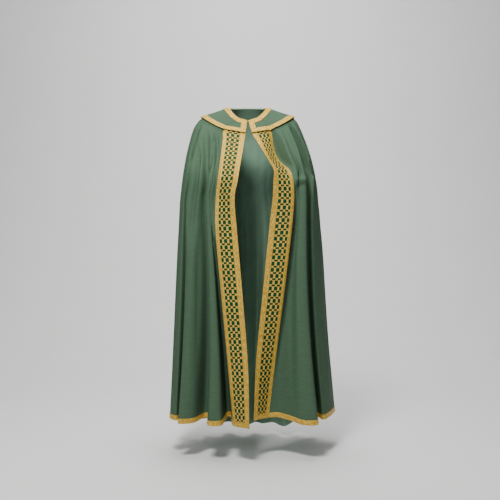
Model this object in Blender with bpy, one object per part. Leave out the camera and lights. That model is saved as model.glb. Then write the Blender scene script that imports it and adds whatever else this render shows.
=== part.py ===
"""Cope: a part-circle cloak of green cloth, open down the front, hooked at the throat.

Metres, +Z up. The front faces -Y, and the wearer's right is -X. The origin is the middle of the
neck opening, at the height where the cloak rests on the shoulders. The wearer is not part of it.

The whole cloak is one draped surface. It runs from the right front edge (column 0) round the back
to the left front edge (last column), and from the neck seam (row 0) down to the hem (last row).
Every piece is a stretch of that surface, moved out or in by its layer and given its thickness.
"""

import math
from bisect import bisect_right
from collections import namedtuple

import bmesh
import bpy
from mathutils import Vector

# Cloth thicknesses and clearances.
MANTLE_WALL = 0.0016
LINING_WALL = 0.0010
COLLAR_WALL = 0.0018
ORPHREY_WALL = 0.0012
BRAID_WALL = 0.0016
LAYER_GAP = 0.0004
COLLAR_BRAID_GAP = 0.0009
SEAM_GAP = 0.0003

# Sewn-on widths.
ORPHREY_WIDTH = 0.095
BRAID_WIDTH = 0.022
BRAID_SHARE = BRAID_WIDTH / ORPHREY_WIDTH
COLLAR_STAND = 0.005
ORPHREY_UNDER_COLLAR = 0.012

# Length down the side, from the neck point to the hem, and how square the plan is (2 is an ellipse).
SIDE_FALL = 1.385
SQUARENESS = 2.2

# How the folds' depth grows on the way down, and how high up they swing most: 1 is evenly.
GROWTH = 0.7
SWING = 0.6

# The cloak's plan from the neck seam to the hem. `drop` is the fall at the side, `right` and `left`
# are the half-widths, `front` and `back` the depths, and the last two the fall there.
Section = namedtuple("Section", "drop right left front back front_drop back_drop")
SECTIONS = [
    Section(0.002, 0.087, 0.087, 0.068, 0.074, 0.070, -0.008),
    Section(0.024, 0.147, 0.147, 0.088, 0.118, 0.100, 0.045),
    Section(0.049, 0.207, 0.207, 0.107, 0.150, 0.132, 0.105),
    Section(0.090, 0.240, 0.236, 0.135, 0.163, 0.170, 0.152),
    Section(0.155, 0.261, 0.263, 0.170, 0.174, 0.215, 0.213),
    Section(0.220, 0.276, 0.285, 0.205, 0.184, 0.262, 0.278),
    Section(0.285, 0.287, 0.301, 0.238, 0.194, 0.308, 0.343),
    Section(0.340, 0.294, 0.311, 0.250, 0.203, 0.350, 0.398),
    Section(0.420, 0.302, 0.320, 0.250, 0.215, 0.420, 0.478),
    Section(0.540, 0.309, 0.332, 0.243, 0.231, 0.540, 0.602),
    Section(0.680, 0.317, 0.343, 0.236, 0.247, 0.680, 0.745),
    Section(0.980, 0.331, 0.363, 0.226, 0.278, 0.980, 1.060),
    Section(SIDE_FALL, 0.347, 0.398, 0.215, 0.310, SIDE_FALL, 1.490),
]

# The two edges of each front's orphrey band, by the fall at the front.
Edge = namedtuple("Edge", "drop in_x in_y out_x out_y")
RIGHT_FRONT = [
    Edge(0.070, -0.002, -0.068, -0.040, -0.062),
    Edge(0.132, -0.010, -0.105, -0.104, -0.092),
    Edge(0.170, -0.015, -0.135, -0.108, -0.115),
    Edge(0.215, -0.021, -0.175, -0.112, -0.148),
    Edge(0.262, -0.028, -0.215, -0.117, -0.182),
    Edge(0.308, -0.035, -0.248, -0.122, -0.210),
    Edge(0.350, -0.041, -0.262, -0.127, -0.221),
    Edge(0.420, -0.054, -0.262, -0.135, -0.212),
    Edge(0.540, -0.046, -0.256, -0.136, -0.223),
    Edge(0.830, -0.021, -0.260, -0.110, -0.227),
    Edge(1.130, 0.002, -0.268, -0.082, -0.224),
    Edge(1.385, 0.007, -0.272, -0.060, -0.204),
]
LEFT_FRONT = [
    Edge(0.070, 0.002, -0.068, 0.042, -0.061),
    Edge(0.132, 0.019, -0.105, 0.100, -0.091),
    Edge(0.170, 0.039, -0.135, 0.109, -0.101),
    Edge(0.215, 0.062, -0.178, 0.118, -0.117),
    Edge(0.262, 0.087, -0.222, 0.137, -0.142),
    Edge(0.308, 0.109, -0.244, 0.179, -0.181),
    Edge(0.350, 0.108, -0.250, 0.192, -0.206),
    Edge(0.420, 0.105, -0.241, 0.196, -0.212),
    Edge(0.540, 0.092, -0.228, 0.187, -0.213),
    Edge(0.830, 0.063, -0.220, 0.154, -0.192),
    Edge(1.130, 0.035, -0.200, 0.118, -0.153),
    Edge(1.385, 0.025, -0.180, 0.091, -0.116),
]
LEFT_FRONT_LIFT = 0.016

# The ridges and valleys between the two bands, in order round the back. `x` and `y` are where each
# meets the hem, and `turn` is the angle round the smooth plan that it stands out from. `sway` is how
# much further round it swings over the arm, `lift` raises the hem there, `start` is the share of the
# fall above which the cloth is smooth, and `cuts` is how many columns lead up to it.
Fold = namedtuple("Fold", "name x y turn sway lift start cuts")
FOLDS = [
    Fold("right_recess", -0.071, -0.085, 11.3, -0.2, 0.013, 0.42, 3),
    Fold("right_recess_floor", -0.088, -0.075, 12.4, -0.8, 0.012, 0.42, 2),
    Fold("right_recess_flank", -0.100, -0.140, 13.8, -1.7, 0.006, 0.38, 2),
    Fold("right_pipe", -0.118, -0.212, 15.6, -3.9, 0.000, 0.10, 2),
    Fold("right_pipe_edge", -0.166, -0.208, 20.6, -7.4, 0.000, 0.08, 2),
    Fold("right_step", -0.172, -0.085, 23.6, -9.4, 0.009, 0.08, 2),
    Fold("right_step_floor", -0.190, -0.080, 26.6, -10.4, 0.008, 0.08, 2),
    Fold("right_panel", -0.240, -0.158, 33.0, -10.0, 0.000, 0.06, 2),
    Fold("right_panel_edge", -0.297, -0.168, 46.2, -10.0, 0.000, 0.04, 3),
    Fold("right_side_step", -0.280, -0.068, 52.4, -10.0, 0.000, 0.04, 2),
    Fold("right_side_floor", -0.293, -0.060, 56.2, -10.0, 0.000, 0.04, 2),
    Fold("right_side_lip", -0.315, -0.101, 60.2, -9.6, 0.000, 0.04, 3),
    Fold("right_side", -0.347, -0.035, 74.0, -6.0, 0.000, 0.05, 2),
    Fold("right_seam", -0.292, 0.045, 94.0, -1.0, 0.000, 0.08, 2),
    Fold("right_back_1", -0.340, 0.112, 106.0, 0.0, 0.000, 0.10, 3),
    Fold("right_back_2", -0.268, 0.142, 116.0, 0.0, 0.000, 0.16, 3),
    Fold("right_back_3", -0.282, 0.238, 127.0, 0.0, 0.000, 0.09, 3),
    Fold("right_back_4", -0.216, 0.206, 137.0, 0.0, 0.000, 0.12, 3),
    Fold("right_back_5", -0.198, 0.302, 148.0, 0.0, 0.000, 0.10, 3),
    Fold("right_back_6", -0.148, 0.262, 158.0, 0.0, 0.000, 0.24, 3),
    Fold("right_back_7", -0.092, 0.345, 168.0, 0.0, 0.000, 0.11, 3),
    Fold("centre_back", -0.020, 0.268, 177.0, 0.0, 0.000, 0.10, 3),
    Fold("left_back_7", 0.038, 0.352, 186.0, 0.0, 0.000, 0.14, 3),
    Fold("left_back_6", 0.072, 0.300, 193.0, 0.0, 0.000, 0.26, 3),
    Fold("left_back_5", 0.122, 0.346, 200.0, 0.0, -0.012, 0.10, 3),
    Fold("left_back_4", 0.176, 0.246, 207.0, 0.0, -0.018, 0.09, 3),
    Fold("left_back_3", 0.236, 0.312, 214.0, 0.0, -0.012, 0.09, 3),
    Fold("left_back_2", 0.262, 0.244, 221.0, 0.0, -0.004, 0.22, 3),
    Fold("left_back_1", 0.324, 0.268, 228.0, 0.0, 0.000, 0.08, 3),
    Fold("left_seam", 0.322, 0.188, 236.0, 0.0, 0.000, 0.08, 2),
    Fold("left_side_back", 0.402, 0.180, 247.0, 1.5, 0.000, 0.06, 3),
    Fold("left_side", 0.396, 0.085, 264.0, 4.0, 0.000, 0.05, 2),
    Fold("left_side_front", 0.366, -0.020, 283.0, 7.0, 0.000, 0.04, 2),
    Fold("left_side_lip", 0.332, -0.086, 297.5, 10.6, 0.000, 0.04, 2),
    Fold("left_side_floor", 0.312, -0.036, 301.5, 10.8, 0.000, 0.04, 2),
    Fold("left_side_step", 0.293, -0.044, 305.0, 10.6, 0.000, 0.04, 2),
    Fold("left_panel_edge", 0.297, -0.196, 311.0, 10.0, 0.000, 0.04, 3),
    Fold("left_panel_ridge", 0.237, -0.200, 320.0, 6.5, 0.001, 0.06, 3),
    Fold("left_panel", 0.192, -0.165, 325.4, 3.2, 0.010, 0.16, 2),
    Fold("left_panel_hollow", 0.132, -0.125, 332.3, 1.0, 0.019, 0.22, 2),
]
LAST_CUTS = 2
SHARP_ANGLE = math.radians(40)
SPAN_CUTS = [fold.cuts for fold in FOLDS] + [LAST_CUTS]
BAND_COLUMNS = 4

# The falls at the side where the cloth is given a row of points.
ROW_DROPS = [0.002, 0.024, 0.049, 0.090, 0.140, 0.195, 0.250, 0.300, 0.345, 0.420, 0.530, 0.680,
             0.840, 1.000, 1.150, 1.270, SIDE_FALL - BRAID_WIDTH, SIDE_FALL]
COLLAR_ROW = 2

# Throat hook: wire radius, ring radius, and where the ring's middle lies.
WIRE = 0.0006
RING_RADIUS = 0.0035
RING_PLACE = Vector((0.0062, -0.0673, -0.0777))
HOOK_CLEARANCE = 0.0017
HOOK_HEEL = Vector((-0.0125, -0.0699, -0.0777))

# Colours of the finishes: linear colour, roughness and metallic value.
Finish = namedtuple("Finish", "colour roughness metallic")
FINISHES = {
    "green_cloth": Finish((0.055, 0.155, 0.085), 0.75, 0.0),
    "lining_cloth": Finish((0.015, 0.055, 0.032), 0.60, 0.0),
    "gold_braid": Finish((0.590, 0.350, 0.090), 0.45, 0.2),
    "checker_band": Finish((0.350, 0.260, 0.070), 0.55, 0.1),
    "dark_hook": Finish((0.020, 0.020, 0.022), 0.35, 0.9),
}


def blend(a, b, share):
    """The value or point that lies a share of the way from a to b."""
    return a + (b - a) * share


def crowd(share):
    """A share moved towards the nearer end of its span, so that points crowd round the ridges."""
    return share * share * (3 - 2 * share)


def read_table(table, value):
    """A row of the table at a value of its first column, on smooth curves through the rows."""
    keys = [row[0] for row in table]
    low = min(max(bisect_right(keys, value) - 1, 0), len(table) - 2)
    span = keys[low + 1] - keys[low]
    share = min(max((value - keys[low]) / span, 0.0), 1.0)

    def slope(index, column):
        before, after = max(index - 1, 0), min(index + 1, len(table) - 1)
        return (table[after][column] - table[before][column]) / (keys[after] - keys[before])

    values = []
    for column in range(len(table[0])):
        start, end = table[low][column], table[low + 1][column]
        curve = (
            start * (1 + 2 * share) * (1 - share) ** 2
            + end * (3 - 2 * share) * share**2
            + slope(low, column) * span * share * (1 - share) ** 2
            - slope(low + 1, column) * span * share**2 * (1 - share)
        )
        values.append(curve)
    return type(table[0])(*values)


def plan_point(section, angle):
    """The plan's point at an angle in degrees: 0 is the front, 90 the wearer's right, 180 the back."""
    sine, cosine = math.sin(math.radians(angle)), math.cos(math.radians(angle))
    half = section.right if sine > 0 else section.left
    depth = section.front if cosine > 0 else section.back
    fall = section.front_drop if cosine > 0 else section.back_drop
    power = 2 / SQUARENESS
    x = -half * math.copysign(abs(sine) ** power, sine)
    y = -depth * math.copysign(abs(cosine) ** power, cosine)
    return Vector((x, y, -(section.drop * sine**2 + fall * cosine**2)))


def plan_angle(section, x, y):
    """The angle at which the plan points towards (x, y)."""
    across = abs(x) / (section.right if x < 0 else section.left)
    along = abs(y) / (section.front if y < 0 else section.back)
    angle = math.degrees(math.atan2(across ** (SQUARENESS / 2), along ** (SQUARENESS / 2)))
    if y > 0:
        angle = 180 - angle
    return angle if x < 0 else 360 - angle


def edge_points(section, table, lift):
    """The inner and outer edge of one front's band on a section."""
    edge = read_table(table, section.front_drop)
    grow = max(section.drop / SIDE_FALL, 0.0)
    points = []
    for x, y in ((edge.in_x, edge.in_y), (edge.out_x, edge.out_y)):
        level = plan_point(section, plan_angle(section, x, y)).z
        points.append(Vector((x, y, level + lift * grow**3)))
    return points


def row_stations(drop):
    """The points of one row at the band edges and the folds.

    A fold keeps its share of the way round from one band to the other, and its ridge or valley
    grows from nothing at its start to its full depth at the hem.
    """
    section, hem = read_table(SECTIONS, drop), SECTIONS[-1]
    fall = drop / SIDE_FALL
    right_edge = edge_points(section, RIGHT_FRONT, 0.0)
    left_edge = edge_points(section, LEFT_FRONT, LEFT_FRONT_LIFT)
    hem_edges = (edge_points(hem, table, 0.0) for table in (RIGHT_FRONT, LEFT_FRONT))
    first, last = (plan_angle(section, *edge[1].to_2d()) for edge in (right_edge, left_edge))
    hem_first, hem_last = (plan_angle(hem, *edge[1].to_2d()) for edge in hem_edges)
    stations = right_edge
    for fold in FOLDS:
        turn = fold.turn + fold.sway * math.sin(math.pi * fall**SWING)
        share = (turn - hem_first) / (hem_last - hem_first)
        smooth, reach = plan_point(section, blend(first, last, share)), plan_point(hem, fold.turn)
        grow = max((fall - fold.start) / (1 - fold.start), 0.0) ** GROWTH
        stations.append(smooth + Vector((fold.x - reach.x, fold.y - reach.y, fold.lift)) * grow)
    stations.extend(reversed(left_edge))
    return stations


def curve_through(points, index, share):
    """A point on the smooth curve through the points, between one and the next."""
    one, two = points[index], points[index + 1]
    before = points[index - 1] if index else 2 * one - two
    after = points[index + 2] if index + 2 < len(points) else 2 * two - one
    knots = [0.0]
    for start, end in ((before, one), (one, two), (two, after)):
        knots.append(knots[-1] + (end - start).length ** 0.5)
    k0, k1, k2, k3 = knots
    here = blend(k1, k2, share)
    entering = blend(before, one, (here - k0) / (k1 - k0))
    crossing = blend(one, two, (here - k1) / (k2 - k1))
    leaving = blend(two, after, (here - k2) / (k3 - k2))
    early = blend(entering, crossing, (here - k0) / (k2 - k0))
    late = blend(crossing, leaving, (here - k1) / (k3 - k1))
    return blend(early, late, share)


def band_shares(start, end):
    """The shares of a band's row at its inner edge, its two braid seams, its middle and its outer edge."""
    braid_seam = BRAID_WIDTH / (end - start).length
    outer_seam = blend(braid_seam, 1.0, (1 - 2 * BRAID_SHARE) / (1 - BRAID_SHARE))
    return [0.0, braid_seam, (braid_seam + outer_seam) / 2, outer_seam, 1.0]


def row_points(stations):
    """One row of the surface, a point for each column."""
    points = [curve_through(stations, 0, share) for share in band_shares(*stations[:2])[:-1]]
    for span, count in enumerate(SPAN_CUTS, start=1):
        points.extend(curve_through(stations, span, crowd(step / count)) for step in range(count))
    last_span = len(stations) - 2
    shares = band_shares(*reversed(stations[-2:]))
    points.extend(curve_through(stations, last_span, 1 - share) for share in reversed(shares))
    return points


# A stretch of the surface: its columns, its top and bottom as a row and a signed distance down from
# it, the whole rows between, and how far its two sides are trimmed back.
Stretch = namedtuple("Stretch", "columns top between bottom trims", defaults=((0.0, 0.0),))


class Drape:
    """The draped surface as columns and rows of points, each with its outward direction."""

    def __init__(self):
        rows = [row_points(row_stations(drop)) for drop in ROW_DROPS]
        self.points = [list(column) for column in zip(*rows)]
        self.last_column, self.last_row = len(self.points) - 1, len(rows) - 1
        self.outward = [
            [self.direction(column, row) for row in range(self.last_row + 1)]
            for column in range(self.last_column + 1)
        ]
        self.fold_columns = {
            fold.name: BAND_COLUMNS + sum(SPAN_CUTS[: index + 1]) for index, fold in enumerate(FOLDS)
        }

    def direction(self, column, row):
        """Square to the surface, away from the wearer."""
        points = self.points
        west, east = max(column - 1, 0), min(column + 1, self.last_column)
        north, south = max(row - 1, 0), min(row + 1, self.last_row)
        along = points[east][row] - points[west][row]
        down = points[column][south] - points[column][north]
        return along.cross(down).normalized()

    def place(self, column, row, out, trim=0.0):
        """A point at a part row, moved out, and moved along its row by a signed trim."""
        upper = min(int(row), self.last_row - 1)
        share = row - upper
        point = blend(self.points[column][upper], self.points[column][upper + 1], share)
        outward = blend(self.outward[column][upper], self.outward[column][upper + 1], share)
        if trim:
            beside = self.points[column + (1 if trim > 0 else -1)]
            towards = blend(beside[upper], beside[upper + 1], share) - point
            point = point + towards.normalized() * abs(trim)
        return point + outward.normalized() * out

    def walk(self, column, row, distance):
        """The part row that lies a signed distance down the column from a row."""
        step = 1 if distance > 0 else -1
        left = abs(distance)
        while left > 0:
            length = (self.points[column][row + step] - self.points[column][row]).length
            if length >= left:
                return row + step * left / length
            left -= length
            row += step
        return row

    def lay(self, stretch, out):
        """The surface's points on a stretch, as columns of points moved out by a layer.

        `out` is the layer, or a function that gives it at a part row.
        """
        sheet = []
        first, last = stretch.columns[0], stretch.columns[-1]
        for column in stretch.columns:
            trim = stretch.trims[0] if column == first else -stretch.trims[1] if column == last else 0.0
            rows = [self.walk(column, *stretch.top), *stretch.between, self.walk(column, *stretch.bottom)]
            layers = [out(row) if callable(out) else out for row in rows]
            sheet.append([self.place(column, row, layer, trim) for row, layer in zip(rows, layers)])
        return sheet


def span_of(first, last):
    """The columns from one to another, both included."""
    return list(range(first, last + 1))


def finish_material(name):
    """The material of a finish, made once."""
    if name in bpy.data.materials:
        return bpy.data.materials[name]
    finish = FINISHES[name]
    material = bpy.data.materials.new(name)
    material.use_nodes = True
    shader = material.node_tree.nodes["Principled BSDF"]
    shader.inputs["Base Color"].default_value = (*finish.colour, 1.0)
    shader.inputs["Roughness"].default_value = finish.roughness
    shader.inputs["Metallic"].default_value = finish.metallic
    return material


def add_object(name, data, finish, collection, parent):
    """An object in the cope's collection, with its own copy of a finish."""
    material = finish_material(finish).copy()
    material.name = f"{name}_finish"
    data.materials.clear()
    data.materials.append(material)
    piece = bpy.data.objects.new(name, data)
    piece.parent = parent
    collection.objects.link(piece)
    return piece


def add_cloth(name, drape, stretch, under, wall, finish, collection, parent):
    """A piece of cloth: a flat grid extruded to a wall, both faces laid on the draped surface.

    `under` is the layer of its inner face, or a function that gives it at a part row.
    """
    inner = drape.lay(stretch, under)
    outer = drape.lay(stretch, lambda row: (under(row) if callable(under) else under) + wall)
    spans, falls = len(inner) - 1, len(inner[0]) - 1
    cut = bmesh.new()
    bmesh.ops.create_grid(cut, x_segments=spans, y_segments=falls, size=1.0)
    bmesh.ops.triangulate(cut, faces=cut.faces, quad_method="FIXED")
    raised = bmesh.ops.extrude_face_region(cut, geom=cut.faces[:], use_keep_orig=True)["geom"]
    raised = {vertex for vertex in raised if isinstance(vertex, bmesh.types.BMVert)}
    for vertex in cut.verts:
        column = round((vertex.co.x + 1) / 2 * spans)
        row = round((1 - vertex.co.y) / 2 * falls)
        vertex.co = (outer if vertex in raised else inner)[column][row]
    bmesh.ops.recalc_face_normals(cut, faces=cut.faces)
    data = bpy.data.meshes.new(name)
    cut.to_mesh(data)
    cut.free()
    data.shade_smooth()
    data.set_sharp_from_angle(angle=SHARP_ANGLE)
    return add_object(name, data, finish, collection, parent)


def collar_layer(row):
    """How far out the collar's underside lies: on the neck seam, and standing off at its edge."""
    rises = [LAYER_GAP + COLLAR_STAND * (step / COLLAR_ROW) ** 2 for step in range(COLLAR_ROW + 1)]
    low = min(int(row), COLLAR_ROW - 1)
    return blend(rises[low], rises[low + 1], row - low)


def collar_braid_layer(row):
    """The layer of the braid that lies on the collar."""
    return collar_layer(row) + COLLAR_WALL + COLLAR_BRAID_GAP


def build_mantle(drape, collection, parent):
    """The four panels of the cloak, seamed at the sides and down the centre back."""
    seams = [0] + [drape.fold_columns[name] for name in ("right_seam", "centre_back", "left_seam")]
    seams.append(drape.last_column)
    names = ("mantle_front_right", "mantle_back_right", "mantle_back_left", "mantle_front_left")
    half_gap, hem = SEAM_GAP / 2, drape.last_row
    for name, first, last in zip(names, seams, seams[1:]):
        trims = (half_gap if first else 0.0, half_gap if last < drape.last_column else 0.0)
        panel = Stretch(span_of(first, last), (0, 0.0), range(1, hem), (hem, 0.0), trims)
        add_cloth(name, drape, panel, -MANTLE_WALL, MANTLE_WALL, "green_cloth", collection, parent)


def build_lining(drape, collection, parent):
    """The lining of the back, which shows through the open front and stops at the hem turning."""
    columns = span_of(drape.fold_columns["right_seam"], drape.fold_columns["left_seam"])
    turning = drape.last_row - 1
    panel = Stretch(columns, (0, 0.0), range(1, turning), (turning, 0.0))
    under = -(MANTLE_WALL + LAYER_GAP + LINING_WALL)
    add_cloth("lining_back", drape, panel, under, LINING_WALL, "lining_cloth", collection, parent)


def build_collar(drape, collection, parent):
    """The round shoulder collar, edged all round with braid."""
    last, edge = drape.last_column, COLLAR_ROW
    everywhere = span_of(0, last)
    flat = Stretch(everywhere, (0, 0.0), range(1, edge), (edge, 0.0))
    add_cloth("collar", drape, flat, collar_layer, COLLAR_WALL, "green_cloth", collection, parent)
    beside, crossed = BRAID_WIDTH + SEAM_GAP, range(1, edge)
    strips = {
        "neck": Stretch(everywhere, (0, 0.0), (), (0, BRAID_WIDTH)),
        "edge": Stretch(everywhere, (edge, -BRAID_WIDTH), (), (edge, 0.0)),
        "front_right": Stretch(span_of(0, 1), (0, beside), crossed, (edge, -beside)),
        "front_left": Stretch(span_of(last - 1, last), (0, beside), crossed, (edge, -beside)),
    }
    for place, strip in strips.items():
        name = f"collar_braid_{place}"
        add_cloth(name, drape, strip, collar_braid_layer, BRAID_WALL, "gold_braid", collection, parent)


def build_orphrey(drape, side, first, collection, parent):
    """One front's checkered band with a braid down each side and across its end.

    `first` is the first of the band's five columns.
    """
    end_row, half_gap = drape.last_row - 1, SEAM_GAP / 2
    top, bottom = (COLLAR_ROW, -ORPHREY_UNDER_COLLAR), (end_row, -SEAM_GAP)
    rows = range(COLLAR_ROW, end_row)
    checks = Stretch(span_of(first + 1, first + 3), top, rows, bottom, (half_gap, half_gap))
    add_cloth(f"orphrey_{side}", drape, checks, LAYER_GAP, ORPHREY_WALL, "checker_band", collection, parent)
    low = Stretch(span_of(first, first + 1), top, rows, bottom, (0.0, half_gap))
    high = Stretch(span_of(first + 3, first + 4), top, rows, bottom, (half_gap, 0.0))
    inner, outer = (low, high) if side == "right" else (high, low)
    end = Stretch(span_of(first, first + 4), (end_row, 0.0), (), (drape.last_row, 0.0))
    for place, strip in (("inner", inner), ("outer", outer), ("end", end)):
        name = f"orphrey_braid_{side}_{place}"
        add_cloth(name, drape, strip, LAYER_GAP, BRAID_WALL, "gold_braid", collection, parent)


def build_hem_braid(drape, collection, parent):
    """The braid round the foot of the cloak, from one band to the other."""
    columns = span_of(BAND_COLUMNS, drape.last_column - BAND_COLUMNS)
    foot = Stretch(columns, (drape.last_row - 1, 0.0), (), (drape.last_row, 0.0), (SEAM_GAP, SEAM_GAP))
    add_cloth("hem_braid", drape, foot, LAYER_GAP, BRAID_WALL, "gold_braid", collection, parent)


def build_throat_hook(collection, parent):
    """The hook on the right front and the ring on the left that it is caught in."""
    bpy.ops.mesh.primitive_torus_add(
        major_radius=RING_RADIUS, minor_radius=WIRE, major_segments=16, minor_segments=6
    )
    ring = bpy.context.object
    data = ring.data
    bpy.data.objects.remove(ring)
    eye = add_object("throat_ring", data, "dark_hook", collection, parent)
    eye.location = RING_PLACE
    eye.rotation_euler = (math.pi / 2, 0.0, 0.0)

    forward = Vector((0.0, -HOOK_CLEARANCE, 0.0))
    bend = RING_PLACE - Vector((RING_RADIUS, 0.0, 0.0))
    reach = Vector((HOOK_CLEARANCE, 0.0, 0.0))
    path = (
        HOOK_HEEL,
        blend(HOOK_HEEL, bend + forward, 0.5),
        bend + forward,
        bend + (reach + forward) * 0.7,
        bend + reach,
        bend + (reach - forward) * 0.7,
        bend - forward,
        bend - reach - forward,
    )
    wire = bpy.data.curves.new("throat_hook", "CURVE")
    wire.dimensions = "3D"
    wire.bevel_depth = WIRE
    wire.bevel_resolution = 1
    wire.use_fill_caps = True
    spline = wire.splines.new("POLY")
    spline.points.add(len(path) - 1)
    for point, place in zip(spline.points, path):
        point.co = (*place, 1.0)
    add_object("throat_hook", wire, "dark_hook", collection, parent)


def main():
    """Build the cope in an empty scene."""
    for old in list(bpy.data.objects):
        bpy.data.objects.remove(old)
    collection = bpy.data.collections.new("cope")
    bpy.context.scene.collection.children.link(collection)
    shoulders = bpy.data.objects.new("shoulders", None)
    collection.objects.link(shoulders)

    drape = Drape()
    build_mantle(drape, collection, shoulders)
    build_lining(drape, collection, shoulders)
    build_collar(drape, collection, shoulders)
    build_orphrey(drape, "right", 0, collection, shoulders)
    build_orphrey(drape, "left", drape.last_column - 4, collection, shoulders)
    build_hem_braid(drape, collection, shoulders)
    build_throat_hook(collection, shoulders)


main()
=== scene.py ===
"""Cope: draped cloth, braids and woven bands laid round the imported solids, with a plain studio."""

import math
from bisect import bisect_right
from collections import namedtuple

import bmesh
import bpy
import numpy
from bpy.props import FloatProperty, FloatVectorProperty, PointerProperty
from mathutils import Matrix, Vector


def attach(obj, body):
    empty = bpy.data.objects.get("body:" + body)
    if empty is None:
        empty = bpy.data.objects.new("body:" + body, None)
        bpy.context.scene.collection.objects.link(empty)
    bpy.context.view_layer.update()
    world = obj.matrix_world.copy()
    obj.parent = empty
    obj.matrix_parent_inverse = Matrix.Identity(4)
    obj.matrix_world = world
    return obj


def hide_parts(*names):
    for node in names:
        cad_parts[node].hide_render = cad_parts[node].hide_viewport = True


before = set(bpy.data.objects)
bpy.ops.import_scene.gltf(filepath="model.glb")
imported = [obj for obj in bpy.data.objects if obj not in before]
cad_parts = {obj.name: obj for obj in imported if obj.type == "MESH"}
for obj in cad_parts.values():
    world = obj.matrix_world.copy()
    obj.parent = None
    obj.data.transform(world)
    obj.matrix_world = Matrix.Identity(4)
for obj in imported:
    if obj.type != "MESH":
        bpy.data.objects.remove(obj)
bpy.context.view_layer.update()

bl_info = {
    "name": "Cope Dressing",
    "version": (1, 0, 0),
    "blender": (4, 5, 0),
    "location": "View3D > Sidebar > Cope",
    "description": "Lays the cloth, braids and bands of a cope over its solids",
    "category": "Object",
}

# Sewn-on widths and the cut, in metres, as the solids have them.
ORPHREY_WIDTH = 0.095
BRAID_WIDTH = 0.022
BRAID_SHARE = BRAID_WIDTH / ORPHREY_WIDTH
COLLAR_STAND = 0.005
ORPHREY_UNDER_COLLAR = 0.012
MANTLE_WALL = 0.0016
LINING_WALL = 0.0010
COLLAR_WALL = 0.0018
ORPHREY_WALL = 0.0012
BRAID_WALL = 0.0012
LAYER_GAP = 0.0004
COLLAR_BRAID_GAP = 0.0009
SEAM_GAP = 0.0003
SIDE_FALL = 1.385

# How square the plan is, where 2 is an ellipse; how soon the folds open out below where they start;
# and how high up the fall they sway most.
SQUARENESS = 2.2
GROWTH = 0.7
SWING = 0.6

# Plans of the smooth cloak: half widths, depths, and how far down the cloth has come on each side.
Section = namedtuple("Section", "drop right left front back front_drop back_drop")
SECTIONS = [
    Section(0.002, 0.087, 0.087, 0.068, 0.074, 0.070, -0.008),
    Section(0.024, 0.147, 0.147, 0.088, 0.118, 0.100, 0.045),
    Section(0.049, 0.207, 0.207, 0.107, 0.150, 0.132, 0.105),
    Section(0.090, 0.240, 0.236, 0.135, 0.163, 0.170, 0.152),
    Section(0.155, 0.261, 0.263, 0.170, 0.174, 0.215, 0.213),
    Section(0.220, 0.276, 0.285, 0.205, 0.184, 0.262, 0.278),
    Section(0.285, 0.287, 0.301, 0.238, 0.194, 0.308, 0.343),
    Section(0.340, 0.294, 0.311, 0.250, 0.203, 0.350, 0.398),
    Section(0.420, 0.302, 0.320, 0.250, 0.215, 0.420, 0.478),
    Section(0.540, 0.309, 0.332, 0.243, 0.231, 0.540, 0.602),
    Section(0.680, 0.317, 0.343, 0.236, 0.247, 0.680, 0.745),
    Section(0.980, 0.331, 0.363, 0.226, 0.278, 0.980, 1.060),
    Section(SIDE_FALL, 0.347, 0.398, 0.215, 0.310, SIDE_FALL, 1.490),
]

# The inner and outer edges of each front's band.
Edge = namedtuple("Edge", "drop in_x in_y out_x out_y")
RIGHT_FRONT = [
    Edge(0.070, -0.002, -0.068, -0.040, -0.062),
    Edge(0.132, -0.010, -0.105, -0.104, -0.092),
    Edge(0.170, -0.015, -0.135, -0.108, -0.115),
    Edge(0.215, -0.021, -0.175, -0.112, -0.148),
    Edge(0.262, -0.028, -0.215, -0.117, -0.182),
    Edge(0.308, -0.035, -0.248, -0.122, -0.210),
    Edge(0.350, -0.041, -0.262, -0.127, -0.221),
    Edge(0.420, -0.054, -0.262, -0.135, -0.212),
    Edge(0.540, -0.046, -0.256, -0.136, -0.223),
    Edge(0.830, -0.021, -0.260, -0.110, -0.227),
    Edge(1.130, 0.002, -0.268, -0.082, -0.224),
    Edge(1.385, 0.007, -0.272, -0.060, -0.204),
]
LEFT_FRONT = [
    Edge(0.070, 0.002, -0.068, 0.042, -0.061),
    Edge(0.132, 0.019, -0.105, 0.100, -0.091),
    Edge(0.170, 0.039, -0.135, 0.109, -0.101),
    Edge(0.215, 0.062, -0.178, 0.118, -0.117),
    Edge(0.262, 0.087, -0.222, 0.137, -0.142),
    Edge(0.308, 0.109, -0.244, 0.179, -0.181),
    Edge(0.350, 0.108, -0.250, 0.192, -0.206),
    Edge(0.420, 0.105, -0.241, 0.196, -0.212),
    Edge(0.540, 0.092, -0.228, 0.187, -0.213),
    Edge(0.830, 0.063, -0.220, 0.154, -0.192),
    Edge(1.130, 0.035, -0.200, 0.118, -0.153),
    Edge(1.385, 0.025, -0.180, 0.091, -0.116),
]
LEFT_FRONT_LIFT = 0.016

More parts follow.
